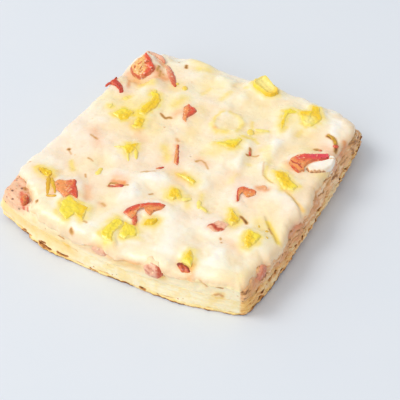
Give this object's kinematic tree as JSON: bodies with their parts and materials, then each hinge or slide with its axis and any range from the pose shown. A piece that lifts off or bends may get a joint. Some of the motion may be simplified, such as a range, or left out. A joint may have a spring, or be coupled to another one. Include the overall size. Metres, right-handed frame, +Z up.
{
  "type": "pizza slice",
  "caption": "Square hand-cut slice of sheet pizza with a baked dough base, a sauce band and melted white cheese, topped with diced peppers, tomato and ham",
  "frame": {"origin": "middle of the slice's box in plan, on the surface the slice lies on", "axes": "+Z up out of the cheese; the knife's front cut faces -Y and its right-hand cut faces +X"},
  "size_m": [0.1161, 0.1232, 0.0223],
  "materials": {
    "crust": "baked dough, matt, browned in thin crisp lines at the cuts and underneath",
    "sauce": "moist sauce, soft sheen",
    "cheese": "melted white cheese, soft waxy sheen",
    "tomato": "wet cooked tomato",
    "red_pepper": "cooked pepper, glossy skin",
    "yellow_pepper": "cooked pepper, glossy skin",
    "ham": "cooked ham, fibrous, slightly moist",
    "white_curd": "firm white cheese, satin"
  },
  "bodies": {
    "root": {"crust": "crust", "sauce": "sauce", "cheese": "cheese", "tomato_corner": "tomato", "tomato_skin": "tomato", "red_pepper_left_edge": "red_pepper", "red_pepper_back": "red_pepper", "red_pepper_sliver": "red_pepper", "red_pepper_middle": "red_pepper", "red_pepper_crescent": "red_pepper", "red_pepper_front": "red_pepper", "red_pepper_long": "red_pepper", "red_pepper_front_cut": "red_pepper", "ham_right": "ham", "ham_left_cut": "ham", "ham_middle_cut": "ham", "ham_right_cut": "ham", "ham_front_edge": "ham", "white_curd_right": "white_curd", "yellow_pepper_back_edge": "yellow_pepper", "yellow_pepper_back_right": "yellow_pepper", "yellow_pepper_curl": "yellow_pepper", "yellow_pepper_wedge": "yellow_pepper", "yellow_pepper_beside_curd": "yellow_pepper", "yellow_pepper_tall": "yellow_pepper", "yellow_pepper_square": "yellow_pepper", "yellow_pepper_beside_square": "yellow_pepper", "yellow_pepper_triangle": "yellow_pepper", "yellow_pepper_cube": "yellow_pepper", "yellow_pepper_flake": "yellow_pepper", "yellow_pepper_beside_ham": "yellow_pepper", "yellow_pepper_far_right": "yellow_pepper", "yellow_pepper_small": "yellow_pepper", "yellow_pepper_front_left": "yellow_pepper", "yellow_pepper_front_mid": "yellow_pepper", "yellow_pepper_front_lobe": "yellow_pepper", "yellow_pepper_spoon": "yellow_pepper", "yellow_pepper_front_right": "yellow_pepper"}
  },
  "joints": []
}
